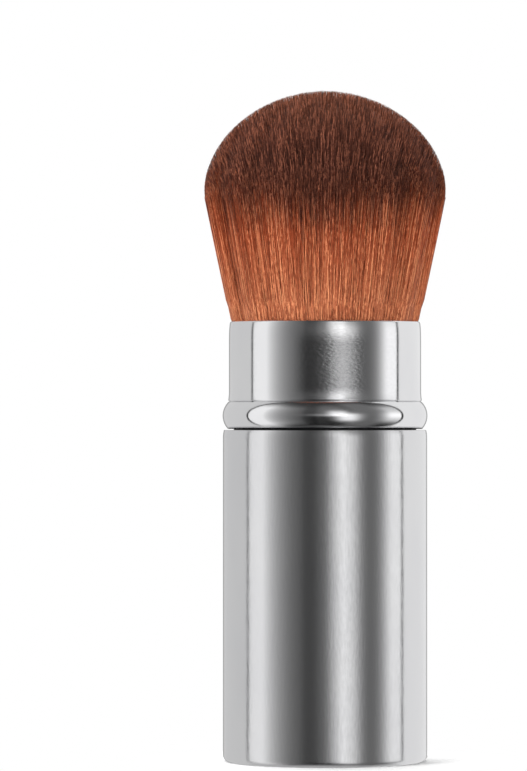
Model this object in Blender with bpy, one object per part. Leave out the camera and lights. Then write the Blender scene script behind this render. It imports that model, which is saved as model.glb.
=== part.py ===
"""Retractable makeup brush: a collar slides up its barrel to cover the domed head of bristles.

Sizes are in metres, +Z is up, and the origin is the middle of the flat base.
Heights named for the whole brush are measured from the base.
"""

import math

import bmesh
import bpy
from mathutils import Matrix, Vector
from mathutils.geometry import delaunay_2d_cdt

# Barrel shell: a deep-drawn aluminium can that the hand holds
BARREL_RADIUS = 0.0170
SHELL_WALL = 0.0005
SHELL_FLOOR = 0.0006
BASE_ROUNDING = 0.0015
RIM_EASE = 0.00015

# Fits between neighbours
GLUE_GAP = 0.00015
SLIDE_GAP = 0.00025
BUSH_GAP = 0.00015
BEAD_GAP = 0.00025
REST_GAP = 0.0002

# Weight in the bottom of the can, bored for the washer and the screw's head
WEIGHT_HEIGHT = 0.0030
WASHER_ROOM = 0.0004

# Liner: a moulded cup glued into the can
LINER_WALL = 0.0009
LINER_FLOOR = 0.0012
SEAT_WALL = 0.0010
SEAT_HEIGHT = 0.0012

# Soft ring on the liner's floor, where the slider lands
BUMPER_HEIGHT = 0.0008

# Slider: the moulded tube that carries the collar and runs in the liner
SLIDER_WALL = 0.0011
SLIDER_DROP = 0.0025
LEAD_IN_HEIGHT = 0.0024
LEAD_IN_DEPTH = 0.0008

# Snap keys on three sprung fingers, which run in slots of the liner
KEY_COUNT = 3
KEY_WIDTH = 0.0030
KEY_HEIGHT = 0.0022
KEY_LIFT = 0.0004
KEY_RAMP = 0.0006
KEY_INSET = 0.0002
KEY_SIDE_GAP = 0.0003
KEY_END_GAP = 0.0002
KEY_REST_GAP = 0.0004
KEY_TURN = math.radians(34)
FINGER_WIDTH = 0.0070
SLIT_WIDTH = 0.0008
SLIT_HEIGHT = 0.0054

# Friction ring: a silicone cord in a groove of the slider
GROOVE_LIFT = 0.0006
GROOVE_DEPTH = 0.0006
RING_GAP = 0.00008

# Bush that guides the slider at the barrel's mouth
BUSH_HEIGHT = 0.0024
BUSH_CHAMFER = 0.0004
BUSH_CLEARANCE = 0.0003
MOUTH_RECESS = 0.0002

# Collar shell: drawn aluminium with a rolled bead
COLLAR_WALL = 0.00065
COLLAR_REACH = 0.0134
COLLAR_ROUNDING = 0.00045
BEAD_HEIGHT = 0.00455
BEAD_RISE = 0.00095
BEAD_FOOT = 0.0002

# Ferrule: a short aluminium tube, crimped on to the stem's spigot
FERRULE_CLEARANCE = 0.0005
FERRULE_WALL = 0.0004
FERRULE_DEPTH = 0.0080
CRIMP_HEIGHT = 0.0036
CRIMP_HALF_WIDTH = 0.0009
CRIMP_DEPTH = 0.0004

# Stem: a ribbed moulding that holds the head up from the liner's floor
FOOT_RADIUS = 0.0100
FOOT_HEIGHT = 0.0016
STEM_RADIUS = 0.0075
STEM_WALL = 0.0014
SHOULDER_HEIGHT = 0.0018
SPIGOT_HEIGHT = 0.0080
CUP_WALL = 0.0014
CUP_FLOOR = 0.0016
RIB_COUNT = 6
RIB_WIDTH = 0.0012
RIB_INSET = 0.0005
RIB_TAPER = 0.0080
BOSS_WALL = 0.0018

# Screw and washer that hold the stem to the liner's floor
WASHER_RADIUS = 0.0032
WASHER_HEIGHT = 0.0005
SCREW_RADIUS = 0.00135
SCREW_LENGTH = 0.0100
SCREW_POINT = 0.0016
SCREW_HEAD_RADIUS = 0.0027
SCREW_HEAD_HEIGHT = 0.0017
SCREW_HEAD_EDGE = 0.0007
PILOT_GAP = 0.00012
PILOT_SPARE = 0.0010

# Epoxy that holds the roots of the hair
PLUG_HEIGHT = 0.0050
PLUG_CHAMFER = 0.0005

# Hair: strands set out by the golden angle on a slice of their backing
HAIR_REACH = 0.0385
HAIR_SPREAD = 0.0201
HAIR_DOME_HEIGHT = 0.0170
HAIR_GAP = 0.00025
MOUTH_GAP = 0.0003
TUCK_DEPTH = 0.0005
ROOT_DEPTH = 0.00085
BACKING_HEIGHT = 0.0050
BACKING_MARGIN = 0.0002
STRAND_COUNT = 345
STRAND_SIDES = 3
STRAND_CELL_SHARE = 0.80
STRAND_TIP_SHARE = 0.55
WAIST_SHARE = 0.35
WAIST_SPREAD_SHARE = 0.64

# Facets round each piece
SHOWN_FACETS = 64
INNER_FACETS = 36
SCREW_FACETS = 16
BEAD_STEPS = 7
ROUNDING_STEPS = 3
CRIMP_STEPS = 4
CORD_STEPS = 6
SMOOTH_ANGLE = math.radians(35)

# Cutters run this far past what they cut
OVERRUN = 0.0005

# Points nearer than this are one point
MERGE_DISTANCE = 0.0000001

# Radii, from the can inwards
SHELL_BORE = BARREL_RADIUS - SHELL_WALL
LINER_RADIUS = SHELL_BORE - GLUE_GAP
LINER_BORE = LINER_RADIUS - LINER_WALL
SLIDER_RADIUS = LINER_BORE - SLIDE_GAP
SLIDER_BORE = SLIDER_RADIUS - SLIDER_WALL
COLLAR_BORE = SLIDER_RADIUS + GLUE_GAP
COLLAR_RADIUS = COLLAR_BORE + COLLAR_WALL
BUSH_BORE = SLIDER_RADIUS + BUSH_GAP
KEY_RADIUS = LINER_RADIUS - KEY_INSET
FERRULE_RADIUS = SLIDER_BORE - FERRULE_CLEARANCE
FERRULE_BORE = FERRULE_RADIUS - FERRULE_WALL
SPIGOT_RADIUS = FERRULE_BORE - GLUE_GAP
GROOVE_RADIUS = SLIDER_RADIUS - GROOVE_DEPTH
CORD_RADIUS = (LINER_BORE - GROOVE_RADIUS) / 2 - RING_GAP
CORD_CENTRE_RADIUS = (LINER_BORE + GROOVE_RADIUS) / 2

# Heights, from the base upwards
TRAVEL = HAIR_REACH + TUCK_DEPTH
WEIGHT_SEAT = SHELL_FLOOR + GLUE_GAP
LINER_SEAT = WEIGHT_SEAT + WEIGHT_HEIGHT + GLUE_GAP
LINER_FLOOR_TOP = LINER_SEAT + LINER_FLOOR
STEM_SEAT = LINER_FLOOR_TOP + GLUE_GAP
SCREW_SEAT = LINER_SEAT - GLUE_GAP - WASHER_HEIGHT - GLUE_GAP
BUMPER_SEAT = LINER_FLOOR_TOP + GLUE_GAP
SLIDER_SEAT = BUMPER_SEAT + BUMPER_HEIGHT + REST_GAP
KEY_SEAT = SLIDER_SEAT + KEY_LIFT
GROOVE_SEAT = SLIDER_SEAT + SLIT_HEIGHT + GROOVE_LIFT
GROOVE_HEIGHT = LINER_BORE - GROOVE_RADIUS
BUSH_SEAT = GROOVE_SEAT + GROOVE_HEIGHT + TRAVEL + BUSH_CLEARANCE
BARREL_HEIGHT = BUSH_SEAT + BUSH_HEIGHT + MOUTH_RECESS
COLLAR_SEAT = BARREL_HEIGHT + BEAD_GAP
MOUTH = COLLAR_SEAT + BEAD_HEIGHT + COLLAR_REACH
FERRULE_TOP = MOUTH - FERRULE_DEPTH
HAIR_ROOT = FERRULE_TOP - ROOT_DEPTH
HAIR_SEAT = HAIR_ROOT - BACKING_HEIGHT
PLUG_SEAT = HAIR_SEAT - GLUE_GAP - PLUG_HEIGHT
SHOULDER = PLUG_SEAT - GLUE_GAP - SPIGOT_HEIGHT
FERRULE_SEAT = SHOULDER + GLUE_GAP
FERRULE_LENGTH = FERRULE_TOP - FERRULE_SEAT
HAIR_TOP = MOUTH + HAIR_REACH
HAIR_WIDEST = HAIR_TOP - HAIR_DOME_HEIGHT


def clear_scene():
    for item in list(bpy.data.objects):
        bpy.data.objects.remove(item, do_unlink=True)


def principled(name, colour, roughness, metallic=0.0):
    """A plain Principled material."""
    made = bpy.data.materials.new(name)
    made.use_nodes = True
    shader = made.node_tree.nodes["Principled BSDF"]
    shader.inputs["Base Color"].default_value = (*colour, 1.0)
    shader.inputs["Roughness"].default_value = roughness
    shader.inputs["Metallic"].default_value = metallic
    made.diffuse_color = (*colour, 1.0)
    return made


def empty_at(name, height):
    """An empty on the brush's axis that carries one moving group."""
    made = bpy.data.objects.new(name, None)
    made.location = (0.0, 0.0, height)
    bpy.context.scene.collection.objects.link(made)
    return made


def place(name, shape, group, height, material=None):
    """Turns a bmesh into a named object that sits at a height above the base, on its group's empty."""
    mesh = bpy.data.meshes.new(name)
    bmesh.ops.recalc_face_normals(shape, faces=shape.faces)
    shape.to_mesh(mesh)
    shape.free()
    made = bpy.data.objects.new(name, mesh)
    made.parent = group
    made.location = (0.0, 0.0, height - group.location.z)
    bpy.context.scene.collection.objects.link(made)
    if material:
        mesh.materials.append(material)
        mesh.shade_smooth()
        mesh.set_sharp_from_angle(angle=SMOOTH_ANGLE)
    return made


def turned(outline, facets):
    """Spins an outline of (radius, height) points about the axis.

    An outline that starts and ends on the axis makes a solid, and any other is closed to make a ring."""
    shape = bmesh.new()
    points = [shape.verts.new((radius, 0.0, height)) for radius, height in outline]
    pairs = list(zip(points, points[1:]))
    if outline[0][0] > 0 or outline[-1][0] > 0:
        pairs.append((points[-1], points[0]))
    edges = [shape.edges.new(pair) for pair in pairs]
    bmesh.ops.spin(
        shape,
        geom=points + edges,
        cent=(0, 0, 0),
        axis=(0, 0, 1),
        angle=math.tau,
        steps=facets,
        use_merge=True,
    )
    bmesh.ops.remove_doubles(shape, verts=shape.verts, dist=MERGE_DISTANCE)
    return shape


def corner(across, up, radius, start):
    """A quarter circle of points about the centre (across, up), counterclockwise from the start angle."""
    turns = [start + math.pi / 2 * step / ROUNDING_STEPS for step in range(ROUNDING_STEPS + 1)]
    return [(across + radius * math.cos(turn), up + radius * math.sin(turn)) for turn in turns]


def bulge(foot, top, rise, steps):
    """An arc of points from foot to top that swells outwards from their chord by the rise."""
    chord = Vector(top) - Vector(foot)
    outwards = Vector((chord.y, -chord.x)).normalized()
    radius = (chord.length**2 / 4 + rise**2) / (2 * rise)
    centre = (Vector(foot) + Vector(top)) / 2 + outwards * (rise - radius)
    half = math.asin(chord.length / 2 / radius)
    along = chord.normalized()
    turns = [half * (2 * step / steps - 1) for step in range(steps + 1)]
    reaches = [outwards * math.cos(turn) + along * math.sin(turn) for turn in turns]
    return [tuple(centre + reach * radius) for reach in reaches]


def plate(shape, outline, width, turn, offset=0.0):
    """Adds an outline of (radius, height) points as a plate of the given width, turned about the axis."""
    near = [shape.verts.new((radius, offset - width / 2, height)) for radius, height in outline]
    face = shape.faces.new(near)
    made = bmesh.ops.extrude_face_region(shape, geom=[face])["geom"]
    far = [item for item in made if isinstance(item, bmesh.types.BMVert)]
    bmesh.ops.translate(shape, verts=far, vec=(0, width, 0))
    bmesh.ops.rotate(shape, verts=near + far, cent=(0, 0, 0), matrix=Matrix.Rotation(turn, 3, "Z"))


def oblong(low_radius, high_radius, foot, head):
    """The four points of an upright oblong."""
    return [(low_radius, foot), (high_radius, foot), (high_radius, head), (low_radius, head)]


def combine(target, tool, operation):
    """Cuts a tool from the target or joins it on, and keeps the tool out of the render."""
    tool.hide_render = True
    tool.display_type = "WIRE"
    step = target.modifiers.new(tool.name, "BOOLEAN")
    step.operation = operation
    step.solver = "EXACT"
    step.object = tool


def barrel_shell(group, material):
    bend = max(BASE_ROUNDING - SHELL_WALL, RIM_EASE)
    outside = corner(BARREL_RADIUS - BASE_ROUNDING, BASE_ROUNDING, BASE_ROUNDING, -math.pi / 2)
    inside = corner(SHELL_BORE - bend, SHELL_FLOOR + bend, bend, -math.pi / 2)
    outline = [
        (0, 0),
        *outside,
        (BARREL_RADIUS, BARREL_HEIGHT - RIM_EASE),
        (BARREL_RADIUS - RIM_EASE, BARREL_HEIGHT),
        (SHELL_BORE + RIM_EASE, BARREL_HEIGHT),
        (SHELL_BORE, BARREL_HEIGHT - RIM_EASE),
        *inside[::-1],
        (0, SHELL_FLOOR),
    ]
    place("barrel_shell", turned(outline, SHOWN_FACETS), group, 0, material)


def base_weight(group, material):
    bore = WASHER_RADIUS + WASHER_ROOM
    chamfer = BASE_ROUNDING
    outline = [
        (bore, 0),
        (LINER_RADIUS - chamfer, 0),
        (LINER_RADIUS, chamfer),
        (LINER_RADIUS, WEIGHT_HEIGHT),
        (bore, WEIGHT_HEIGHT),
    ]
    place("base_weight", turned(outline, INNER_FACETS), group, WEIGHT_SEAT, material)


def barrel_liner(group, material):
    height = BUSH_SEAT - GLUE_GAP - LINER_SEAT
    seat_bore = FOOT_RADIUS + GLUE_GAP
    hole = SCREW_RADIUS + PILOT_GAP
    outline = [
        (hole, 0),
        (LINER_RADIUS, 0),
        (LINER_RADIUS, height),
        (LINER_BORE, height),
        (LINER_BORE, LINER_FLOOR),
        (seat_bore + SEAT_WALL, LINER_FLOOR),
        (seat_bore + SEAT_WALL, LINER_FLOOR + SEAT_HEIGHT),
        (seat_bore, LINER_FLOOR + SEAT_HEIGHT),
        (seat_bore, LINER_FLOOR),
        (hole, LINER_FLOOR),
    ]
    liner = place("barrel_liner", turned(outline, INNER_FACETS), group, LINER_SEAT, material)
    slots = bmesh.new()
    foot = KEY_SEAT - KEY_REST_GAP
    head = KEY_SEAT + KEY_HEIGHT + TRAVEL + KEY_END_GAP
    slot = oblong(LINER_BORE - OVERRUN, LINER_RADIUS + OVERRUN, foot, head)
    for key in range(KEY_COUNT):
        plate(slots, slot, KEY_WIDTH + 2 * KEY_SIDE_GAP, KEY_TURN + math.tau * key / KEY_COUNT)
    combine(liner, place("key_slots", slots, group, 0), "DIFFERENCE")


def bumper_ring(group, material):
    outline = oblong(SLIDER_BORE, SLIDER_RADIUS, 0, BUMPER_HEIGHT)
    place("bumper_ring", turned(outline, INNER_FACETS), group, BUMPER_SEAT, material)


def mouth_bush(group, material):
    outline = [
        (BUSH_BORE + BUSH_CHAMFER, 0),
        (LINER_RADIUS, 0),
        (LINER_RADIUS, BUSH_HEIGHT),
        (BUSH_BORE + BUSH_CHAMFER, BUSH_HEIGHT),
        (BUSH_BORE, BUSH_HEIGHT - BUSH_CHAMFER),
        (BUSH_BORE, BUSH_CHAMFER),
    ]
    place("mouth_bush", turned(outline, INNER_FACETS), group, BUSH_SEAT, material)


def crimp(radius, height, depth, half_width):
    """A rolled groove's points, up a wall of the given radius and inwards by the depth."""
    foot = (radius, height - half_width)
    top = (radius, height + half_width)
    dip = bulge(foot, top, depth, CRIMP_STEPS)
    return [(2 * radius - point[0], point[1]) for point in dip]


def head_stem(group, material):
    shoulder = SHOULDER - STEM_SEAT
    spigot_top = shoulder + SPIGOT_HEIGHT
    pilot = SCREW_RADIUS + PILOT_GAP
    pilot_top = SCREW_SEAT + SCREW_LENGTH + PILOT_SPARE - STEM_SEAT
    boss = pilot + BOSS_WALL
    hollow = STEM_RADIUS - STEM_WALL
    hollow_top = shoulder - SHOULDER_HEIGHT
    crimp_height = shoulder + GLUE_GAP + CRIMP_HEIGHT
    groove = crimp(SPIGOT_RADIUS, crimp_height, CRIMP_DEPTH, CRIMP_HALF_WIDTH + GLUE_GAP)
    outline = [
        (0, pilot_top),
        (pilot, pilot_top),
        (pilot, 0),
        (boss, 0),
        (boss, hollow_top),
        (hollow, hollow_top),
        (hollow, 0),
        (FOOT_RADIUS, 0),
        (FOOT_RADIUS, FOOT_HEIGHT),
        (STEM_RADIUS, FOOT_HEIGHT),
        (STEM_RADIUS, shoulder - SHOULDER_HEIGHT),
        (FERRULE_RADIUS, shoulder - SHOULDER_HEIGHT),
        (FERRULE_RADIUS, shoulder),
        (SPIGOT_RADIUS, shoulder),
        *groove,
        (SPIGOT_RADIUS, spigot_top),
        (SPIGOT_RADIUS - CUP_WALL, spigot_top),
        (SPIGOT_RADIUS - CUP_WALL, shoulder + CUP_FLOOR),
        (0, shoulder + CUP_FLOOR),
    ]
    stem = place("head_stem", turned(outline, INNER_FACETS), group, STEM_SEAT, material)
    ribs = bmesh.new()
    root = STEM_RADIUS - STEM_WALL / 2
    rib = [
        (root, FOOT_HEIGHT / 2),
        (FOOT_RADIUS - RIB_INSET, FOOT_HEIGHT / 2),
        (FOOT_RADIUS - RIB_INSET, shoulder - RIB_TAPER),
        (FERRULE_RADIUS - RIB_INSET, shoulder - SHOULDER_HEIGHT),
        (FERRULE_RADIUS - RIB_INSET, shoulder - SHOULDER_HEIGHT / 2),
        (root, shoulder - SHOULDER_HEIGHT / 2),
    ]
    for number in range(RIB_COUNT):
        plate(ribs, rib, RIB_WIDTH, math.tau * number / RIB_COUNT)
    combine(stem, place("stem_ribs", ribs, group, STEM_SEAT), "UNION")


def stem_washer(group, material):
    outline = oblong(SCREW_RADIUS + PILOT_GAP, WASHER_RADIUS, 0, WASHER_HEIGHT)
    place("stem_washer", turned(outline, SCREW_FACETS), group, SCREW_SEAT + GLUE_GAP, material)


def stem_screw(group, material):
    outline = [
        (0, -SCREW_HEAD_HEIGHT),
        (SCREW_HEAD_RADIUS - SCREW_HEAD_EDGE, -SCREW_HEAD_HEIGHT),
        (SCREW_HEAD_RADIUS, SCREW_HEAD_EDGE - SCREW_HEAD_HEIGHT),
        (SCREW_HEAD_RADIUS, 0),
        (SCREW_RADIUS, 0),
        (SCREW_RADIUS, SCREW_LENGTH - SCREW_POINT),
        (0, SCREW_LENGTH),
    ]
    place("stem_screw", turned(outline, SCREW_FACETS), group, SCREW_SEAT, material)


def ferrule(group, material):
    inside = crimp(FERRULE_BORE, CRIMP_HEIGHT, CRIMP_DEPTH, CRIMP_HALF_WIDTH)
    outside = crimp(FERRULE_RADIUS, CRIMP_HEIGHT, CRIMP_DEPTH, CRIMP_HALF_WIDTH)
    outline = [
        (FERRULE_RADIUS, 0),
        *outside,
        (FERRULE_RADIUS, FERRULE_LENGTH - FERRULE_WALL / 2),
        (FERRULE_RADIUS - FERRULE_WALL / 2, FERRULE_LENGTH),
        (FERRULE_BORE, FERRULE_LENGTH - FERRULE_WALL / 2),
        *inside[::-1],
        (FERRULE_BORE, 0),
    ]
    place("ferrule", turned(outline, INNER_FACETS), group, FERRULE_SEAT, material)


def epoxy_plug(group, material):
    outline = [
        (0, 0),
        (SPIGOT_RADIUS - PLUG_CHAMFER, 0),
        (SPIGOT_RADIUS, PLUG_CHAMFER),
        (SPIGOT_RADIUS, PLUG_HEIGHT),
        (0, PLUG_HEIGHT),
    ]
    place("epoxy_plug", turned(outline, INNER_FACETS), group, PLUG_SEAT, material)


def collar_shell(group, material):
    bead_foot = COLLAR_RADIUS + BEAD_FOOT
    height = MOUTH - COLLAR_SEAT
    outer_bead = bulge((bead_foot, 0), (COLLAR_RADIUS, BEAD_HEIGHT), BEAD_RISE, BEAD_STEPS)
    inner_bead = bulge((bead_foot - COLLAR_WALL, 0), (COLLAR_BORE, BEAD_HEIGHT), BEAD_RISE, BEAD_STEPS)
    rim = corner(COLLAR_RADIUS - COLLAR_ROUNDING, height - COLLAR_ROUNDING, COLLAR_ROUNDING, 0)
    outline = outer_bead + rim + [(COLLAR_BORE, height)] + inner_bead[::-1]
    place("collar_shell", turned(outline, SHOWN_FACETS), group, COLLAR_SEAT, material)


def slider_tube(group, material):
    height = MOUTH - SLIDER_DROP - SLIDER_SEAT
    groove = GROOVE_SEAT - SLIDER_SEAT
    outline = [
        (SLIDER_BORE, 0),
        (SLIDER_RADIUS, 0),
        (SLIDER_RADIUS, groove),
        (GROOVE_RADIUS, groove),
        (GROOVE_RADIUS, groove + GROOVE_HEIGHT),
        (SLIDER_RADIUS, groove + GROOVE_HEIGHT),
        (SLIDER_RADIUS, height),
        (SLIDER_BORE + LEAD_IN_DEPTH, height),
        (SLIDER_BORE, height - LEAD_IN_HEIGHT),
    ]
    slider = place("slider_tube", turned(outline, INNER_FACETS), group, SLIDER_SEAT, material)
    slits = bmesh.new()
    keys = bmesh.new()
    slit = oblong(SLIDER_BORE / 2, SLIDER_RADIUS + OVERRUN, -OVERRUN, SLIT_HEIGHT)
    root = SLIDER_RADIUS - SLIDER_WALL / 2
    key_top = KEY_LIFT + KEY_HEIGHT
    key = [
        (root, KEY_LIFT),
        (SLIDER_RADIUS, KEY_LIFT),
        (KEY_RADIUS, KEY_LIFT + KEY_RAMP),
        (KEY_RADIUS, key_top),
        (root, key_top),
    ]
    for number in range(KEY_COUNT):
        turn = KEY_TURN + math.tau * number / KEY_COUNT
        plate(keys, key, KEY_WIDTH, turn)
        for side in (-1, 1):
            plate(slits, slit, SLIT_WIDTH, turn, side * (FINGER_WIDTH + SLIT_WIDTH) / 2)
    combine(slider, place("finger_slits", slits, group, SLIDER_SEAT), "DIFFERENCE")
    combine(slider, place("snap_keys", keys, group, SLIDER_SEAT), "UNION")


def friction_ring(group, material):
    turns = [math.tau * (step + 0.5) / CORD_STEPS for step in range(CORD_STEPS)]
    outline = [
        (CORD_CENTRE_RADIUS + CORD_RADIUS * math.cos(turn), CORD_RADIUS * math.sin(turn))
        for turn in turns
    ]
    middle = GROOVE_SEAT + GROOVE_HEIGHT / 2
    place("friction_ring", turned(outline, INNER_FACETS), group, middle, material)


def strand_places():
    """Each strand's share of the head's radius and its angle, an even spread by the golden angle."""
    golden = math.pi * (3 - math.sqrt(5))
    last = STRAND_COUNT - 0.5
    return [(math.sqrt((number + 0.5) / last), golden * number) for number in range(STRAND_COUNT)]


def around(count, radius, start=0.0):
    """Points evenly round a circle about the axis."""
    turns = [start + math.tau * step / count for step in range(count)]
    return [Vector((radius * math.cos(turn), radius * math.sin(turn))) for turn in turns]


def bristle_tuft(group, material):
    """Strands fan out from their backing to the collar's mouth, then to a waist and up to the dome.

    A strand keeps its share of the head's radius at every height, so that none can cross another."""
    mouth_radius = COLLAR_BORE - MOUTH_GAP
    ferrule_radius = FERRULE_BORE - HAIR_GAP
    fan_slope = (mouth_radius - ferrule_radius) / FERRULE_DEPTH
    root_radius = ferrule_radius - fan_slope * (FERRULE_TOP - HAIR_ROOT)
    waist_radius = mouth_radius + WAIST_SPREAD_SHARE * (HAIR_SPREAD - mouth_radius)
    waist_height = MOUTH + WAIST_SHARE * HAIR_REACH
    cell = (root_radius - BACKING_MARGIN) / (math.sqrt(STRAND_COUNT) + STRAND_CELL_SHARE)
    strand_radius = cell * STRAND_CELL_SHARE
    edge = root_radius - BACKING_MARGIN - strand_radius

    # Footprints of the strands, as constraints in the backing's top face
    places = strand_places()
    rim = around(INNER_FACETS, root_radius)
    points = list(rim)
    strands = []
    for number, (share, angle) in enumerate(places):
        outwards = Vector((math.cos(angle), math.sin(angle)))
        arms = around(STRAND_SIDES, 1.0, number)
        strands.append((share, outwards, arms))
        points += [outwards * share * edge + arm * strand_radius for arm in arms]
    rim_edges = [(step, (step + 1) % INNER_FACETS) for step in range(INNER_FACETS)]
    firsts = [INNER_FACETS + STRAND_SIDES * number for number in range(STRAND_COUNT)]
    feet = [list(range(first, first + STRAND_SIDES)) for first in firsts]
    tiled = delaunay_2d_cdt(points, rim_edges, feet, 0, MERGE_DISTANCE)
    tiled_points, _, tiled_faces, point_sources, _, face_sources = tiled

    # The backing: its tiled top between the footprints, its wall and its underside
    shape = bmesh.new()
    top = [shape.verts.new((*point, BACKING_HEIGHT)) for point in tiled_points]
    made_from = {source: top[index] for index, sources in enumerate(point_sources) for source in sources}
    for face, sources in zip(tiled_faces, face_sources):
        if not sources:
            shape.faces.new([top[index] for index in face])
    rim_foot = [shape.verts.new((*point, 0)) for point in rim]
    shape.faces.new(rim_foot[::-1])
    for step, after in rim_edges:
        shape.faces.new([rim_foot[step], rim_foot[after], made_from[after], made_from[step]])

    # The strands, each drawn up from its footprint
    for first, (share, outwards, arms) in zip(firsts, strands):
        tip_height = HAIR_WIDEST + HAIR_DOME_HEIGHT * math.sqrt(1 - share**2)
        below = [made_from[first + side] for side in range(STRAND_SIDES)]
        levels = [
            (mouth_radius, MOUTH, 1),
            (waist_radius, waist_height, 1),
            (HAIR_SPREAD, tip_height, STRAND_TIP_SHARE),
        ]
        for radius, height, thickness_share in levels:
            reach = strand_radius * radius / root_radius * thickness_share
            middle = outwards * share * (radius - reach)
            above = [shape.verts.new((*(middle + arm * reach), height - HAIR_SEAT)) for arm in arms]
            for side in range(STRAND_SIDES):
                after = (side + 1) % STRAND_SIDES
                shape.faces.new([below[side], below[after], above[after], above[side]])
            below = above
        shape.faces.new(below)
    place("bristle_tuft", shape, group, HAIR_SEAT, material)


def build():
    clear_scene()
    aluminium = principled("satin_aluminium", (0.74, 0.74, 0.75), 0.24, 1.0)
    ferrule_metal = principled("ferrule_aluminium", (0.70, 0.70, 0.71), 0.30, 1.0)
    steel = principled("weight_steel", (0.42, 0.42, 0.44), 0.35, 1.0)
    black_plastic = principled("black_moulding", (0.018, 0.018, 0.020), 0.38)
    bush_plastic = principled("acetal_bush", (0.030, 0.030, 0.032), 0.30)
    stem_plastic = principled("stem_moulding", (0.62, 0.62, 0.60), 0.45)
    silicone = principled("silicone_cord", (0.20, 0.20, 0.21), 0.55)
    epoxy = principled("epoxy", (0.60, 0.45, 0.22), 0.22)
    hair = principled("brown_fibre", (0.36, 0.11, 0.05), 0.50)

    handle = empty_at("handle", 0)
    barrel_shell(handle, aluminium)
    base_weight(handle, steel)
    barrel_liner(handle, black_plastic)
    bumper_ring(handle, silicone)
    mouth_bush(handle, bush_plastic)
    head_stem(handle, stem_plastic)
    stem_washer(handle, steel)
    stem_screw(handle, steel)
    ferrule(handle, ferrule_metal)
    epoxy_plug(handle, epoxy)
    bristle_tuft(handle, hair)

    # The collar slides up this empty's axis by TRAVEL to cover the hair
    collar = empty_at("collar", COLLAR_SEAT)
    collar_shell(collar, aluminium)
    slider_tube(collar, black_plastic)
    friction_ring(collar, silicone)


build()
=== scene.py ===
# A retractable face brush, standing open on its base on a pale table.
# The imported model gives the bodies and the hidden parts. This file gives the looks:
# the turned metal shells, the sliding tube and the head of fine hair.
# Lengths in the dictionaries are in millimetres, angles in degrees and colours in 8-bit sRGB.
import math

import bpy
import numpy as np
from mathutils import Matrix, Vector


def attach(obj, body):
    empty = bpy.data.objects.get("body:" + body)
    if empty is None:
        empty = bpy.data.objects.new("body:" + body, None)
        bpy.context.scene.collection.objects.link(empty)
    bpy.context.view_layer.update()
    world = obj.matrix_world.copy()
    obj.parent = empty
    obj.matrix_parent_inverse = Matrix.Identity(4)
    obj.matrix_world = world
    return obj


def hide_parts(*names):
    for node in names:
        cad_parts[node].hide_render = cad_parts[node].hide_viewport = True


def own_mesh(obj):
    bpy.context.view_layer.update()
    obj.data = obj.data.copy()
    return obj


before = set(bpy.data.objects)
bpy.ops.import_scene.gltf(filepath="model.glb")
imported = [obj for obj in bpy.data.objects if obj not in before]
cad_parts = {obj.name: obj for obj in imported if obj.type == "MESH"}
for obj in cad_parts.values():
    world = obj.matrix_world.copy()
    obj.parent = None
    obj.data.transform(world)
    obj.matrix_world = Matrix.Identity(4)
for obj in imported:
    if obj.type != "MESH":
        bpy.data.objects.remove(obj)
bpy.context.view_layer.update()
print("packed model loaded")

mm = 0.001
goldenTurn = 2.399963  # radians from one hair of the dome to the next
goldenShare = 0.618034  # of all the shades, from one hair of the side to the next
noiseSpan = (0.3, 0.7)  # where most of a noise's values lie


def linear(colour):
    # an 8-bit sRGB colour as linear light, by the sRGB curve, with alpha 1
    c = np.array(colour) / 255
    light = np.where(c <= 0.04045, c / 12.92, ((c + 0.055) / 1.055) ** 2.4)
    return (*light.tolist(), 1.0)


def smooth(value, low, high):
    # eases from 0 at low to 1 at high
    t = np.clip((value - low) / (high - low), 0, 1)
    return t * t * (3 - 2 * t)


def fill(tree, node, values):
    # sets a node's sockets to numbers and colours, or links other nodes' sockets to them
    for key, value in values.items():
        if isinstance(value, bpy.types.NodeSocket):
            tree.links.new(value, node.inputs[key])
        else:
            node.inputs[key].default_value = value


def addNode(tree, kind, values=None, **settings):
    # makes a node with its own settings, and fills its sockets
    made = tree.nodes.new(kind)
    for key, value in settings.items():
        setattr(made, key, value)
    fill(tree, made, values or {})
    return made


def calc(tree, operation, *values):
    # one Math node's result
    return addNode(tree, "ShaderNodeMath", dict(enumerate(values)), operation=operation).outputs[0]


def product(tree, first, *others):
    # all the values multiplied together
    for other in others:
        first = calc(tree, "MULTIPLY", first, other)
    return first


def mixValue(tree, share, first, second):
    # first times (1 - share) plus second times share
    rest = calc(tree, "SUBTRACT", 1.0, share)
    return calc(tree, "ADD", calc(tree, "MULTIPLY", first, rest), calc(tree, "MULTIPLY", second, share))


def mapRange(tree, value, low, high, start, end, kind="LINEAR"):
    # goes from start to end while value goes from low to high
    sockets = {"Value": value, "From Min": low, "From Max": high, "To Min": start, "To Max": end}
    return addNode(tree, "ShaderNodeMapRange", sockets, interpolation_type=kind).outputs["Result"]


def ease(tree, value, low, high, start=0.0, end=1.0):
    # a smooth step from start to end while value goes from low to high
    return mapRange(tree, value, low, high, start, end, "SMOOTHSTEP")


def easeOver(tree, place, span, start=0.0, end=1.0):
    # a smooth step from start to end while a place, in metres, crosses a span in millimetres
    low, high = span
    return ease(tree, place, low * mm, high * mm, start, end)


def ramp(tree, value, stops):
    # a colour ramp through (place, colour) stops
    made = addNode(tree, "ShaderNodeValToRGB", {"Fac": value})
    band = made.color_ramp.elements
    while len(band) < len(stops):
        band.new(0.5)
    for element, (place, colour) in zip(band, stops):
        element.position = place
        element.color = linear(colour)
    return made.outputs["Color"]


def newMaterial(name):
    # an empty node material, with its tree and its Principled shader
    made = bpy.data.materials.new(name)
    made.use_nodes = True
    tree = made.node_tree
    return made, tree, tree.nodes["Principled BSDF"]


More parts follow.
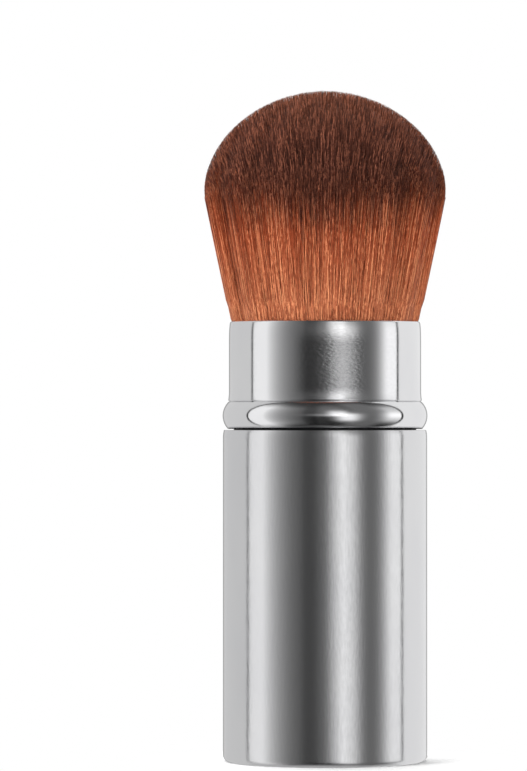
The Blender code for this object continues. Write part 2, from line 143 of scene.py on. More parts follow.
def mixColour(tree, share, first, second):
    # first at share 0 and second at share 1
    sockets = {0: share, 6: first, 7: second}  # its factor and its two colours
    return addNode(tree, "ShaderNodeMix", sockets, data_type="RGBA").outputs[2]


def objectAxes(tree):
    # the X, Y and Z of Object coordinates
    place = addNode(tree, "ShaderNodeTexCoord").outputs["Object"]
    return addNode(tree, "ShaderNodeSeparateXYZ", {"Vector": place}).outputs


def objectNoise(tree, size, detail, squeeze=(1, 1, 1)):
    # noise on Object coordinates with features of about size millimetres,
    # which are longer along an axis whose squeeze is under 1
    place = addNode(tree, "ShaderNodeTexCoord").outputs["Object"]
    squeezed = addNode(tree, "ShaderNodeMapping", {"Vector": place, "Scale": squeeze})
    sockets = {"Vector": squeezed.outputs["Vector"], "Scale": 1 / (size * mm), "Detail": detail}
    return addNode(tree, "ShaderNodeTexNoise", sockets).outputs["Fac"]


def clouded(tree, finish, squeeze=(1, 1, 1)):
    # the finish's colour, drifting to its cloud colour in soft clouds
    cloud = objectNoise(tree, finish["cloudSize"], 3.0, squeeze)
    low, high = noiseSpan
    return ramp(tree, cloud, [(low, finish["colour"]), (high, finish["cloudColour"])])


def bumped(tree, height, depth, **others):
    # the normal of a surface that rises by depth millimetres as height goes from 0 to 1
    sockets = {"Height": height, "Distance": depth * mm, **others}
    return addNode(tree, "ShaderNodeBump", sockets).outputs["Normal"]


def makeObject(name, points, corners, sizes, material):
    # points (n, 3) in metres, corners the faces' vertex numbers end to end,
    # and sizes the number of corners of each face
    mesh = bpy.data.meshes.new(name)
    mesh.vertices.add(len(points))
    mesh.vertices.foreach_set("co", points.astype(np.float32).ravel())
    mesh.loops.add(len(corners))
    mesh.loops.foreach_set("vertex_index", corners.astype(np.int32))
    mesh.polygons.add(len(sizes))
    starts = np.concatenate([[0], np.cumsum(sizes)[:-1]])
    mesh.polygons.foreach_set("loop_start", starts.astype(np.int32))
    mesh.update(calc_edges=True)
    mesh.validate()
    mesh.shade_smooth()
    mesh.materials.append(material)
    made = bpy.data.objects.new(name, mesh)
    bpy.context.scene.collection.objects.link(made)
    return made


def polar(radius, angle, height):
    # the points (radius cos angle, radius sin angle, height)
    radius, angle, height = np.broadcast_arrays(radius, angle, height)
    return np.stack([radius * np.cos(angle), radius * np.sin(angle), height], axis=-1)


def arc(across, up, radius, start, end, steps):
    # points of a circle about (across, up), from the start angle to the end angle
    turn = np.radians(np.linspace(start, end, steps))
    return np.stack([across + radius * np.cos(turn), up + radius * np.sin(turn)], axis=1)


def line(first, last, steps):
    # evenly spaced points from first to last, without the last
    return np.linspace(first, last, steps, endpoint=False)


def path(turns, steps):
    # evenly spaced points on the straight runs between the turns, without the last turn
    return np.concatenate([line(*run) for run in zip(turns, turns[1:], steps)])


def taperedEnd(c, rim, steps):
    # the top of a wall, which draws in by taperDepth times a power of the share of its rise to the rim
    rise = np.linspace(0, 1, steps)
    return np.stack([
        c["radius"] - c["taperDepth"] * rise ** c["taperPower"],
        rim - c["taperHeight"] * (1 - rise),
    ], axis=1)


def gridQuads(rows, around, joined):
    # The faces of a grid whose rows close round: vertex (row, col) has the number row * around + col.
    # If joined, the last row meets the first too.
    row = np.arange(rows if joined else rows - 1)[:, None]
    col = np.arange(around)[None, :]
    nextRow, nextCol = (row + 1) % rows, (col + 1) % around
    low, high = row * around, nextRow * around
    return np.stack([low + col, low + nextCol, high + nextCol, high + col], axis=2).reshape(-1)


def poleFan(start, around, pole):
    # triangles from each edge of the ring of vertices that begins at start, up to the pole
    ring = np.arange(around)
    return np.stack([start + ring, start + (ring + 1) % around, np.full(around, pole)], axis=1).reshape(-1)


def turnedPiece(name, profile, material, segments=288, shape=None, columns=None):
    # A surface of two parameters: how far along the profile, and how far round.
    # A profile point (radius, height) goes to (radius cos a, radius sin a, height).
    # A profile that starts and ends on the axis is closed by poles, and any other by joining its ends.
    # shape, if given, moves the grid of radii and heights by angle.
    angle = np.arange(segments) * math.tau / segments if columns is None else columns
    solid = profile[0, 0] == 0
    rings = profile[1:-1] if solid else profile
    radius = np.repeat(rings[:, :1], len(angle), axis=1)
    height = np.repeat(rings[:, 1:], len(angle), axis=1)
    if shape is not None:
        radius, height = shape(radius, height, angle)
    points = polar(radius, angle, height).reshape(-1, 3)
    rows, around = radius.shape
    corners = gridQuads(rows, around, joined=not solid)
    sizes = np.full(len(corners) // 4, 4)
    if solid:
        first, last = len(points), len(points) + 1
        points = np.concatenate([points, [[0, 0, profile[0, 1]], [0, 0, profile[-1, 1]]]])
        ring = np.arange(around)
        lowFan = np.stack([np.full(around, first), (ring + 1) % around, ring], axis=1).reshape(-1)
        corners = np.concatenate([corners, lowFan, poleFan((rows - 1) * around, around, last)])
        sizes = np.concatenate([sizes, np.full(2 * around, 3)])
    made = makeObject(name, points * mm, corners, sizes, material)
    writeUv(made.data)
    return made


def writeUv(mesh, uvLength=100):
    # U is height plus radius over uvLength, and V is the share of a turn round the axis,
    # so that the shading's tangent stands upright
    count = len(mesh.loops)
    numbers = np.zeros(count, np.int32)
    mesh.loops.foreach_get("vertex_index", numbers)
    points = np.zeros(len(mesh.vertices) * 3, np.float32)
    mesh.vertices.foreach_get("co", points)
    points = points.reshape(-1, 3)[numbers]
    turn = np.arctan2(points[:, 1], points[:, 0]) / math.tau
    layer = mesh.uv_layers.new(name="upright")
    # a face that spans the join gets its low corners lifted by a whole turn
    starts = np.zeros(len(mesh.polygons), np.int32)
    mesh.polygons.foreach_get("loop_start", starts)
    face = np.repeat(np.arange(len(starts)), np.diff(np.append(starts, count)))
    highest = np.maximum.reduceat(turn, starts)[face]
    turn = np.where(highest - turn > 0.5, turn + 1, turn)
    across = np.hypot(points[:, 0], points[:, 1])
    up = (points[:, 2] + across) / mm / uvLength
    layer.data.foreach_set("uv", np.stack([up, turn], axis=1).astype(np.float32).ravel())


def satinMetal(name, finish):
    # Polished metal with a satin grain. Reflections stay crisp round the tube and spread up and
    # down it, and two noises tilt the surface: a fine one for the grain and a broad one for the
    # slight waves of a drawn wall. On a piece with a hazy patch the grain shows little elsewhere,
    # and the patch's colour is darkened towards a shade colour as painted shade.
    made, tree, shader = newMaterial(name)
    tangent = addNode(tree, "ShaderNodeTangent", direction_type="UV_MAP", uv_map="upright")
    grain = objectNoise(tree, finish["grainSize"], 2.0, (1, 1, finish["grainRun"]))
    tint = clouded(tree, finish, (1, 1, finish["cloudRun"]))
    rough = mapRange(tree, grain, *noiseSpan, *finish["roughness"])
    strength = 1.0
    if "hazeAndPaintedShade" in finish:
        hazeAndPaintedShade = finish["hazeAndPaintedShade"]
        rough, share = hazyPatchWithPaintedShade(tree, rough, hazeAndPaintedShade)
        # painted shade: in the patch the metal's colour is mixed towards the shade colour, which dims the
        # reflections there
        tint = mixColour(tree, product(tree, share, hazeAndPaintedShade["paintedShadeDim"]), tint, linear(hazeAndPaintedShade["shade"]))
        strength = calc(tree, "MAXIMUM", share, hazeAndPaintedShade["rest"])
    wave = objectNoise(tree, finish["waveSize"], 1.0, (1, 1, finish["waveRun"]))
    broad = bumped(tree, wave, finish["waveDepth"])
    fill(tree, shader, {
        "Metallic": 1.0,
        "Anisotropic": finish["stretch"],
        "Tangent": tangent.outputs["Tangent"],
        "Base Color": tint,
        "Roughness": rough,
        "Normal": bumped(tree, grain, finish["grainDepth"], Strength=strength, Normal=broad),
    })
    return made


def hazyPatchWithPaintedShade(tree, rough, hazeAndPaintedShade):
    # A hand-brushed patch on the front: rougher than the rest, with visible grain, and darker with painted
    # shade that dims the reflections in it. It fades out towards the bead, the mouth and the sides. The
    # bead itself is polished.
    axes = objectAxes(tree)
    above = easeOver(tree, axes["Z"], hazeAndPaintedShade["foot"])
    below = easeOver(tree, axes["Z"], hazeAndPaintedShade["mouth"], 1.0, 0.0)
    aside = calc(tree, "ABSOLUTE", calc(tree, "SUBTRACT", axes["X"], hazeAndPaintedShade["middle"] * mm))
    near = easeOver(tree, aside, hazeAndPaintedShade["side"], 1.0, 0.0)
    front = calc(tree, "LESS_THAN", axes["Y"], 0.0)
    share = product(tree, above, below, near, front)
    polish = easeOver(tree, axes["Z"], hazeAndPaintedShade["bead"], hazeAndPaintedShade["polish"], 1.0)
    rough = product(tree, rough, polish, ease(tree, share, 0.0, 1.0, 1.0, hazeAndPaintedShade["roughness"]))
    return rough, share


def mouldedPlastic(name, finish):
    # moulded plastic or rubber: a plain colour with faint clouds and a fine spark-eroded texture
    made, tree, shader = newMaterial(name)
    grain = objectNoise(tree, finish["grainSize"], 2.0)
    fill(tree, shader, {
        "Base Color": clouded(tree, finish),
        "Roughness": mapRange(tree, grain, 0, 1, *finish["roughness"]),
        "Normal": bumped(tree, grain, finish["grainDepth"]),
        "IOR": finish.get("ior", 1.5),
        "Coat Weight": finish.get("coat", 0.0),
    })
    return made


def turnedMetal(name, finish):
    # lathe-turned metal: fine rings up the piece, from a sine of the height, over faint clouds
    made, tree, shader = newMaterial(name)
    turning = product(tree, objectAxes(tree)["Z"], math.tau / (finish["turning"] * mm))
    rings = calc(tree, "SINE", turning)
    fill(tree, shader, {
        "Metallic": 1.0,
        "Base Color": clouded(tree, finish),
        "Roughness": mapRange(tree, rings, -1, 1, *finish["roughness"]),
        "Normal": bumped(tree, rings, finish["ringDepth"]),
    })
    return made


barrelFinish = {
    "colour": (231, 231, 232), "cloudColour": (226, 226, 228), "cloudSize": 9, "cloudRun": 0.5,
    "roughness": (0.22, 0.26), "stretch": 1.0,
    "grainSize": 0.34, "grainRun": 0.22, "grainDepth": 0.0062,
    "waveSize": 8, "waveRun": 0.4, "waveDepth": 0.009,
}
collarFinish = {
    "colour": (238, 238, 239), "cloudColour": (233, 233, 235), "cloudSize": 7, "cloudRun": 0.5,
    "roughness": (0.15, 0.2), "stretch": 1.0,
    "grainSize": 0.6, "grainRun": 2.5, "grainDepth": 0.04,
    "waveSize": 9, "waveRun": 0.4, "waveDepth": 0.008,
    # a hand-brushed patch on the front: rougher, with visible grain, and darkened by painted shade that
    # mixes its shade colour into the metal's colour
    "hazeAndPaintedShade": {
        "foot": (60.2, 62.4), "mouth": (69.0, 72.2), "middle": 1.2, "side": (4.0, 6.8),
        "roughness": 1.2, "rest": 0.03, "paintedShadeDim": 0.48, "shade": (50, 50, 52),
        "bead": (59.5, 60.6), "polish": 0.6,
    },
}
plasticFinishes = {
    "blackMoulding": {
        "colour": (32, 32, 34), "cloudColour": (38, 38, 40), "cloudSize": 6,
        "roughness": (0.38, 0.52), "grainSize": 0.12, "grainDepth": 0.004,
    },
    "acetal": {
        "colour": (44, 44, 46), "cloudColour": (50, 50, 52), "cloudSize": 5,
        "roughness": (0.28, 0.36), "grainSize": 0.1, "grainDepth": 0.002,
    },
    "stemMoulding": {
        "colour": (203, 203, 199), "cloudColour": (194, 194, 189), "cloudSize": 5,
        "roughness": (0.4, 0.52), "grainSize": 0.12, "grainDepth": 0.004,
    },
    "silicone": {
        "colour": (122, 122, 125), "cloudColour": (114, 114, 117), "cloudSize": 4,
        "roughness": (0.55, 0.7), "grainSize": 0.08, "grainDepth": 0.003, "ior": 1.42,
    },
    "epoxy": {
        "colour": (203, 178, 131), "cloudColour": (190, 162, 112), "cloudSize": 3,
        "roughness": (0.1, 0.2), "grainSize": 0.3, "grainDepth": 0.002, "coat": 0.4,
    },
}
turnedFinishes = {
    "weightSteel": {
        "colour": (170, 171, 176), "cloudColour": (158, 158, 160), "cloudSize": 4,
        "roughness": (0.26, 0.38), "turning": 0.18, "ringDepth": 0.002,
    },
    "plainAluminium": {
        "colour": (216, 216, 218), "cloudColour": (206, 206, 208), "cloudSize": 4,
        "roughness": (0.28, 0.4), "turning": 0.3, "ringDepth": 0.002,
    },
}

finishes = {name: mouldedPlastic(name, finish) for name, finish in plasticFinishes.items()}
finishes.update({name: turnedMetal(name, finish) for name, finish in turnedFinishes.items()})
finishes["barrelSatin"] = satinMetal("barrelSatin", barrelFinish)
finishes["collarSatin"] = satinMetal("collarSatin", collarFinish)
print("finishes made")


barrel = {
    "radius": 17.0, "height": 55.13, "wall": 0.5, "floor": 0.6,
    "baseRounding": 1.0, "rimEase": 0.08,
    "taperHeight": 1.2, "taperDepth": 0.14, "taperPower": 2.2,
    "clear": 0.5,  # from a rounding to the first ring of the straight wall beyond it
}


def barrelProfile(b):
    # up the outside from the middle of the base, over the rim and down the inside to the floor
    clear, rimEase = b["clear"], b["rimEase"]
    bend = b["baseRounding"] - b["wall"]
    bore = b["radius"] - b["wall"]
    flat = b["radius"] - b["baseRounding"]
    rim = b["height"] - rimEase
    taper = taperedEnd(b, rim, 12)
    return np.concatenate([
        line((0, 0), (flat, 0), 12),
        arc(flat, b["baseRounding"], b["baseRounding"], -90, 0, 14),
        line((b["radius"], b["baseRounding"] + clear), (b["radius"], taper[0, 1]), 60),
        taper,
        arc(taper[-1, 0] - rimEase, rim, rimEase, 20, 90, 6),
        arc(bore + rimEase / 2, rim + rimEase / 2, rimEase / 2, 90, 180, 4),
        line((bore, rim - clear), (bore, b["floor"] + bend + clear), 20),
        arc(bore - bend, b["floor"] + bend, bend, 0, -90, 8),
        line((bore - bend - clear, b["floor"]), (0, b["floor"]), 8),
        [(0, b["floor"])],
    ])


barrelPiece = turnedPiece("barrel", barrelProfile(barrel), finishes["barrelSatin"])
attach(barrelPiece, "handle")
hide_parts("barrel_shell")
print("barrel made")


bush = {"bore": 15.35, "radius": 16.35, "foot": 52.4, "height": 2.4, "chamfer": 0.4}


def bushProfile(b):
    # a square ring with its inner edges chamfered
    foot, top = b["foot"], b["foot"] + b["height"]
    inner, mouth = b["bore"], b["bore"] + b["chamfer"]
    turns = [
        (mouth, foot), (b["radius"], foot), (b["radius"], top), (mouth, top),
        (inner, top - b["chamfer"]), (inner, foot + b["chamfer"]),
    ]
    return path(turns + turns[:1], [3] * len(turns))


bushPiece = turnedPiece("bush", bushProfile(bush), finishes["acetal"], segments=192)
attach(bushPiece, "handle")
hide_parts("mouth_bush")
print("bush made")


collar = {
    "radius": 16.0, "wall": 0.65, "foot": 55.33, "mouth": 73.2,
    "rounding": 0.38, "boreRounding": 0.1,
    "beadHeight": 4.57, "beadRise": 0.95, "footSpread": 0.2,
    "filletHeight": 1.6, "filletSpread": 0.13,
    "creaseDepth": 0.06, "creaseHeight": 0.14, "creaseShare": 0.8,
    "taperHeight": 4.2, "taperDepth": 0.14, "taperPower": 4.2,
    "clear": {"fillet": 0.4, "mouth": 1, "foot": 0.3},  # to the first or last ring of a straight wall
}


def collarProfile(c):
    # Up the outside: the hem, the rolled bead as an arc that swells from its chord,
    # a small fillet into the wall, the wall, and the rounded mouth. Then down the bore.
    bore = c["radius"] - c["wall"]
    low = np.array([c["radius"] + c["footSpread"], c["foot"]])
    high = np.array([c["radius"], c["foot"] + c["beadHeight"]])
    chord = high - low
    length = np.hypot(*chord)
    out = np.array([chord[1], -chord[0]]) / length
    radius = (length ** 2 / 4 + c["beadRise"] ** 2) / (2 * c["beadRise"])
    centre = (low + high) / 2 + out * (c["beadRise"] - radius)
    half = math.asin(length / 2 / radius)
    turn = np.linspace(-half, half, 40)[:, None]
    bead = centre + radius * (out * np.cos(turn) + chord / length * np.sin(turn))
    rim = c["mouth"] - c["rounding"]
    inner = c["boreRounding"]
    down = np.linspace(1, 0, 10)
    fillet = np.stack([
        c["radius"] + c["filletSpread"] * down ** 2,
        high[1] + c["filletHeight"] * (1 - down),
    ], axis=1)
    lip = c["radius"] - c["taperDepth"]
    taper = taperedEnd(c, rim, 18)
    crease = c["radius"] - c["creaseDepth"]
    clear = c["clear"]
    return np.concatenate([
        bead[:-1],
        [(crease, high[1]), (crease, high[1] + c["creaseHeight"] * c["creaseShare"])],
        fillet + [0, c["creaseHeight"]],
        line((c["radius"], fillet[-1, 1] + clear["fillet"]), (c["radius"], taper[0, 1]), 20),
        taper,
        arc(lip - c["rounding"], rim, c["rounding"], 12, 90, 12),
        arc(bore + inner, c["mouth"] - inner, inner, 90, 180, 5),
        line((bore, c["mouth"] - clear["mouth"]), (bore, c["foot"] + clear["foot"]), 12),
        [(bore, c["foot"])],
    ])


collarPiece = turnedPiece("collar", collarProfile(collar), finishes["collarSatin"])
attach(collarPiece, "collar")
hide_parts("collar_shell")
print("collar made")


slider = {
    "radius": 15.2, "bore": 14.1, "foot": 6.25, "top": 70.7, "rimRounding": 0.1,
    "mouthHeight": 2.4, "mouthDepth": 0.8,
    "grooveFoot": 12.25, "grooveHeight": 0.85, "grooveDepth": 0.6,
    "fingers": 3, "fingerTurn": 34, "fingerWidth": 7.0, "slitWidth": 0.8, "slitHeight": 5.4,
    "keyWidth": 3.0, "keyFoot": 6.65, "keyHeight": 2.2, "keyRadius": 16.15,
    "keyEase": 0.05, "keySlope": 0.6,
    "columns": 240, "columnGap": 0.004, "edge": 0.04,  # the gap in radians
}


def sliderProfile(s):
    # up the outside past the friction ring's groove, over the bell mouth and down the bore
    rim, wall, bore = s["rimRounding"], s["radius"], s["bore"]
    grooveTop = s["grooveFoot"] + s["grooveHeight"]
    floor = wall - s["grooveDepth"]
    return np.concatenate([
        path([
            (wall, s["foot"]), (wall, s["grooveFoot"]), (floor, s["grooveFoot"]),
            (floor, grooveTop), (wall, grooveTop), (wall, s["top"] - rim),
        ], (60, 2, 3, 2, 30)),
        arc(wall - rim, s["top"] - rim, rim, 0, 90, 4),
        path([
            (bore + s["mouthDepth"], s["top"]), (bore, s["top"] - s["mouthHeight"]), (bore, s["foot"]),
        ], (8, 30)),
        [(bore, s["foot"])],
    ])


def fingerCentres(s):
    # the angles of the fingers' middles, evenly spaced round the tube
    return np.radians(s["fingerTurn"]) + np.arange(s["fingers"]) * math.tau / s["fingers"]


def angleFrom(angles, others):
    # how far each angle is from the nearest of the others, either way round
    return np.abs((angles[:, None] - others + math.pi) % math.tau - math.pi).min(axis=1)


def sliderColumns(s):
    # even steps round the tube, and pairs of columns at each edge of a slit or key
    even = np.arange(s["columns"]) * math.tau / s["columns"]
    slitFar = s["fingerWidth"] / 2 + s["slitWidth"]
    edges = np.array([s["keyWidth"] / 2, s["fingerWidth"] / 2, slitFar])
    pairs = (edges[:, None] + np.array([-0.5, 0.5]) * s["edge"]).ravel() / s["radius"]
    near = (fingerCentres(s)[:, None] + np.concatenate([-pairs, pairs])).ravel() % math.tau
    return np.sort(np.concatenate([even[angleFrom(even, near) > s["columnGap"]], near]))


def shapeSlider(radius, height, angle):
    # Slits: in their columns every height below the slit's top is lifted to it, which leaves an
    # upright wall at each side. Keys: the outer wall of a finger swells to the key's radius.
    s = slider
    away = angleFrom(angle, fingerCentres(s)) * s["radius"]
    inSlit = (away > s["fingerWidth"] / 2) & (away < s["fingerWidth"] / 2 + s["slitWidth"])
    onKey = away < s["keyWidth"] / 2
    lifted = np.maximum(height, s["foot"] + s["slitHeight"])
    keyTop = s["keyFoot"] + s["keyHeight"]
    share = smooth(height, s["keyFoot"] - s["keyEase"], s["keyFoot"] + s["keyEase"])
    share = share * (1 - smooth(height, keyTop - s["keySlope"], keyTop))
    outer = radius > (s["radius"] + s["bore"]) / 2
    keyed = np.where(outer & onKey, radius + (s["keyRadius"] - s["radius"]) * share, radius)
    return keyed, np.where(inSlit, lifted, height)


sliderPiece = turnedPiece(
    "slider", sliderProfile(slider), finishes["blackMoulding"],
    shape=shapeSlider, columns=sliderColumns(slider),
)
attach(sliderPiece, "collar")
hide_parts("slider_tube")
print("sliding tube made")


hair = {
    # the outline: a straight fan from the collar's mouth that meets a superellipse dome
    "root": 66.6, "mouth": 73.2, "mouthRadius": 15.0, "fan": 0.212, "spill": 0.75, "spillHeight": 0.5,
    "widest": 94.8, "widestRadius": 20.15, "top": 111.6, "domePower": 1.93, "shoulder": 0.15,
    # every hair
    "seed": 7, "sides": 3, "thickness": 0.052, "tipShare": 0.3, "tipScatter": 0.07, "lean": 0.5, "roll": 5,
    # the dark tips; a waver is a size, its turns round the head and a start in radians
    "darkFrom": 91.9, "darkSway": 2.0, "darkScatter": 2.3, "darkWidth": 3.0,
    "darkWavers": ((0.6, 9, 1), (0.5, 23, 0)),
    # the dense inside, and the sectors
    # the dense inside takes a low tone, which paints it mostly in the shade colour as painted shade between
    # the hairs
    "coreDepth": 1.6, "corePaintedShadeTone": 0.12, "sectors": 16, "keep": 0.66,
    # the long hairs of the side; waveTurns, width and toneTurns are each a least value and a spread
    "side": {
        "count": 15000, "points": 9, "depth": 0.07, "depthPower": 1.3, "tipScatter": 1.6,
        "clumps": 420, "clumpWidth": 0.09, "clumpPull": 0.012, "looseShare": 0.8,
        "ripple": 0.08, "rippleTurns": (61, 137), "rippleSway": 3, "swayTurns": 7, "bend": 1.6,
        "wave": 0.13, "waveTurns": (5, 4), "waveShift": 9, "sink": 0.12,
        "width": (0.8, 0.5), "taperFrom": 0.7,
        "layer": 1000, "clumpTone": 0.1, "lengthTone": 0.1, "toneTurns": (4, 5),
    },
    # the short hairs of the dome; length and width are each a least value and a spread
    "dome": {
        "count": 17000, "points": 3, "length": (5.0, 4.0), "turnScatter": 0.02,
        "edgeScatter": 0.4, "topScatter": 0.6, "scatterTurn": 1.5,
        "lean": 0.35, "gather": 0.1, "gatherPower": 1.5, "leastReach": 1.0,
        "width": (1.2, 0.5), "taperFrom": 0.3,
        "rows": 300, "alike": 0.15, "ownTone": 1.25, "sharedTone": 2.0,
    },
    "colours": {
        # the dark tips are lighter towards the top of the dome with painted light
        "tipTopPaintedLight": (88, 52, 39), "tip": (81, 46, 36), "tipDeep": (64, 35, 28),
        "upper": (143, 65, 39), "lower": (161, 92, 63),
        "gold": (208, 138, 97), "copper": (206, 126, 87), "tipLight": (152, 93, 72),
        "tipShade": (40, 24, 20), "shade": (90, 40, 25), "gloss": (224, 150, 110),
    },
    # how the colours meet; lit and deep are spans of the tone
    "shading": {
        "roughness": 0.4, "specular": 0.3, "fleckWidth": 0.16, "fleckRun": 0.022, "fleckTone": 1.25,
        "upperDrop": 5, "tipMiddle": 0.55,
        "lit": (0.7, 0.9), "litShare": 0.95, "deep": (0.05, 0.42), "deepShare": 0.8,
    },
}


def fanRadius(height):
    # The radius that the outermost hair would have at a height if the head had no dome:
    # a straight fan that spills outwards just above the collar's mouth.
    spill = hair["spill"] * smooth(height, hair["mouth"], hair["mouth"] + hair["spillHeight"])
    return hair["mouthRadius"] + hair["fan"] * (height - hair["mouth"]) + spill


def darkShare(height, angle, scatter):
    # 0 in the chestnut length and 1 in the dark tip. The change lies lower at the front and back
    # than at the sides, wavers round the head, and differs from hair to hair by the scatter.
    sway = -hair["darkSway"] * np.cos(2 * angle + math.pi)
    for size, turns, shift in hair["darkWavers"]:
        sway = sway + size * np.sin(angle * turns + shift)
    return smooth(height - hair["darkFrom"] - sway - scatter, -hair["darkWidth"], hair["darkWidth"])


def domeRadius(height):
    # the superellipse of the dome above its widest height
    rise = np.clip((height - hair["widest"]) / (hair["top"] - hair["widest"]), 0, 1)
    return hair["widestRadius"] * (1 - rise ** hair["domePower"]) ** (1 / hair["domePower"])


def envelope(steps=600, sideSteps=20, drop=1):
    # The head's outline from the top of the dome down its side, to drop below its widest height.
    # Its radius is the lesser of the fan's and the dome's, softly joined where they meet.
    turn = np.linspace(0, math.pi / 2, steps)
    height = hair["widest"] + (hair["top"] - hair["widest"]) * np.cos(turn) ** (2 / hair["domePower"])
    side = np.linspace(hair["widest"], hair["widest"] - drop, sideSteps)[1:]
    height = np.concatenate([height, side])
    dome, fan = domeRadius(height), fanRadius(height)
    soft = hair["shoulder"]
    radius = -soft * np.logaddexp(-dome / soft, -fan / soft)
    radius = np.maximum(radius, 0)
    radius[0] = 0
    return radius, height


def tipHeights(share):
    # the height at which a hair on that share of the fan meets the head's outline
    radius, height = envelope()
    along = radius / fanRadius(height)
    order = np.argsort(along)
    return np.interp(share, along[order], height[order])


def fibres(paths, radius, roll):
    # Closed threads of a few sides: each ring of a thread stands square to its path, turned by roll.
    # paths (threads, rings, 3) and radius (threads, rings), both in millimetres.
    count, rings, _ = paths.shape
    sides = hair["sides"]
    along = np.gradient(paths, axis=1)
    along /= np.linalg.norm(along, axis=2, keepdims=True)
    side = np.cross(along, np.array([0.31, 0.95, 0.02]))  # a direction that no hair runs in
    side /= np.linalg.norm(side, axis=2, keepdims=True)
    cross = np.cross(along, side)
    turn = roll[:, None, None] + np.arange(sides) * math.tau / sides
    reach = np.cos(turn)[..., None] * side[:, :, None, :] + np.sin(turn)[..., None] * cross[:, :, None, :]
    points = paths[:, :, None, :] + radius[:, :, None, None] * reach
    thread = np.arange(count)[:, None, None] * rings * sides
    ring = np.arange(rings - 1)[None, :, None] * sides
    corner = np.arange(sides)
    after = (corner + 1) % sides
    low = thread + ring
    high = low + sides
    quads = np.stack([low + corner, low + after, high + after, high + corner], axis=3).reshape(-1)
    base = np.arange(count)[:, None] * rings * sides
    rootCap, tipCap = base + (-corner) % sides, base + (rings - 1) * sides + corner
    corners = np.concatenate([quads, np.concatenate([rootCap, tipCap], axis=1).reshape(-1)])
    sizes = np.concatenate([np.full(count * (rings - 1) * sides, 4), np.full(count * 2, sides)])
    return points.reshape(-1, 3), corners, sizes


def wedge(first, last, columns=10, steps=120, rings=24, least=0.05):
    # The dense inside of one sector of the head: the outline moved inwards along its normal, as
    # rings of a wedge from the axis out to the arc, one above the other, from the roots up to a
    # pole under the dome's top. Rings of less than the least radius are left out.
    radius, height = envelope(steps)
    inset = hair["coreDepth"]
    slope = np.gradient(radius), np.gradient(height)
    length = np.hypot(*slope)
    coreRadius = np.maximum(radius + inset * slope[1] / length, 0)
    coreHeight = height - inset * slope[0] / length
    coreRadius[0] = 0
    down = np.linspace(coreHeight[-1], hair["root"], rings)[1:]
    coreRadius = np.concatenate([coreRadius, fanRadius(down) - inset])[::-1]
    coreHeight = np.concatenate([coreHeight, down])[::-1]
    keep = np.append(coreRadius[:-1] > least, True)
    coreRadius, coreHeight = coreRadius[keep], coreHeight[keep]
    ringRadius, ringHeight = coreRadius[:-1, None], coreHeight[:-1, None]
    arcPoints = polar(ringRadius, np.linspace(first, last, columns), ringHeight)
    axisPoints = polar(0 * ringRadius, 0.0, ringHeight)
    grid = np.concatenate([axisPoints, arcPoints], axis=1)
    rows, around = grid.shape[:2]
    points = np.concatenate([grid.reshape(-1, 3), [[0, 0, coreHeight[-1]]]])
    quads = gridQuads(rows, around, joined=False)
    fan = poleFan((rows - 1) * around, around, rows * around)
    floor = np.arange(around)[::-1]
    corners = np.concatenate([quads, fan, floor])
    sizes = np.concatenate([np.full(len(quads) // 4, 4), np.full(around, 3), [around]])
    return points, corners, sizes


def hairMaterial():
    # darkness, 0 for the chestnut length and 1 for the dark tip, and tone, each hair's own shade,
    # come from the mesh. Height lightens the roots, painted light lightens the dark tips up the dome,
    # long flecks vary the tone along a hair, and the tone mixes in the light and the deep colours at
    # its two ends.
    made, tree, shader = newMaterial("brownFibre")
    c, s = hair["colours"], hair["shading"]
    dark = addNode(tree, "ShaderNodeAttribute", attribute_name="darkness").outputs["Fac"]
    tone = addNode(tree, "ShaderNodeAttribute", attribute_name="tone").outputs["Fac"]
    fleck = objectNoise(tree, s["fleckWidth"], 1.0, (1, 1, s["fleckRun"]))
    fleck = calc(tree, "SUBTRACT", fleck, 0.5)  # a noise's middle
    tone = calc(tree, "ADD", tone, product(tree, fleck, s["fleckTone"]))
    height = objectAxes(tree)["Z"]
    up = easeOver(tree, height, (hair["mouth"], hair["widest"] - s["upperDrop"]))
    length = ramp(tree, up, [(0.0, c["lower"]), (1.0, c["upper"])])
    # painted light: the dark tips lighten from the dome's widest height up to its top, as though lit from
    # above
    crownPaintedLight = easeOver(tree, height, (hair["widest"], hair["top"]))
    tips = ramp(tree, crownPaintedLight, [(0.0, c["tipDeep"]), (s["tipMiddle"], c["tip"]), (1.0, c["tipTopPaintedLight"])])
    base = mixColour(tree, dark, length, tips)
    glow = ramp(tree, up, [(0.0, c["gold"]), (1.0, c["copper"])])
    glint = mixColour(tree, dark, glow, linear(c["tipLight"]))
    lit = mixColour(tree, ease(tree, tone, *s["lit"], 0.0, s["litShare"]), base, glint)
    shade = mixColour(tree, dark, linear(c["shade"]), linear(c["tipShade"]))
    fill(tree, shader, {
        "Base Color": mixColour(tree, ease(tree, tone, *s["deep"], s["deepShare"], 0.0), lit, shade),
        "Roughness": s["roughness"],
        "Specular IOR Level": s["specular"],
        "Specular Tint": linear(c["gloss"]),
    })
    return made


def scattered(draw, span, count):
    # random numbers of at least the first of the span, and up to the second more
    least, spread = span
    return least + spread * draw.random(count)


def hairRadius(draw, h, step):
    # each hair's own thickness, which falls to tipShare of it from taperFrom to the tip
    taper = 1 - (1 - hair["tipShare"]) * smooth(step, h["taperFrom"], 1.0)
    return hair["thickness"] * scattered(draw, h["width"], h["count"])[:, None] * taper


def hairDark(draw, up, start):
    # how dark each hair is on its way up, with its own scatter
    return darkShare(up, start[:, None], draw.normal(0, hair["darkScatter"], len(start))[:, None])


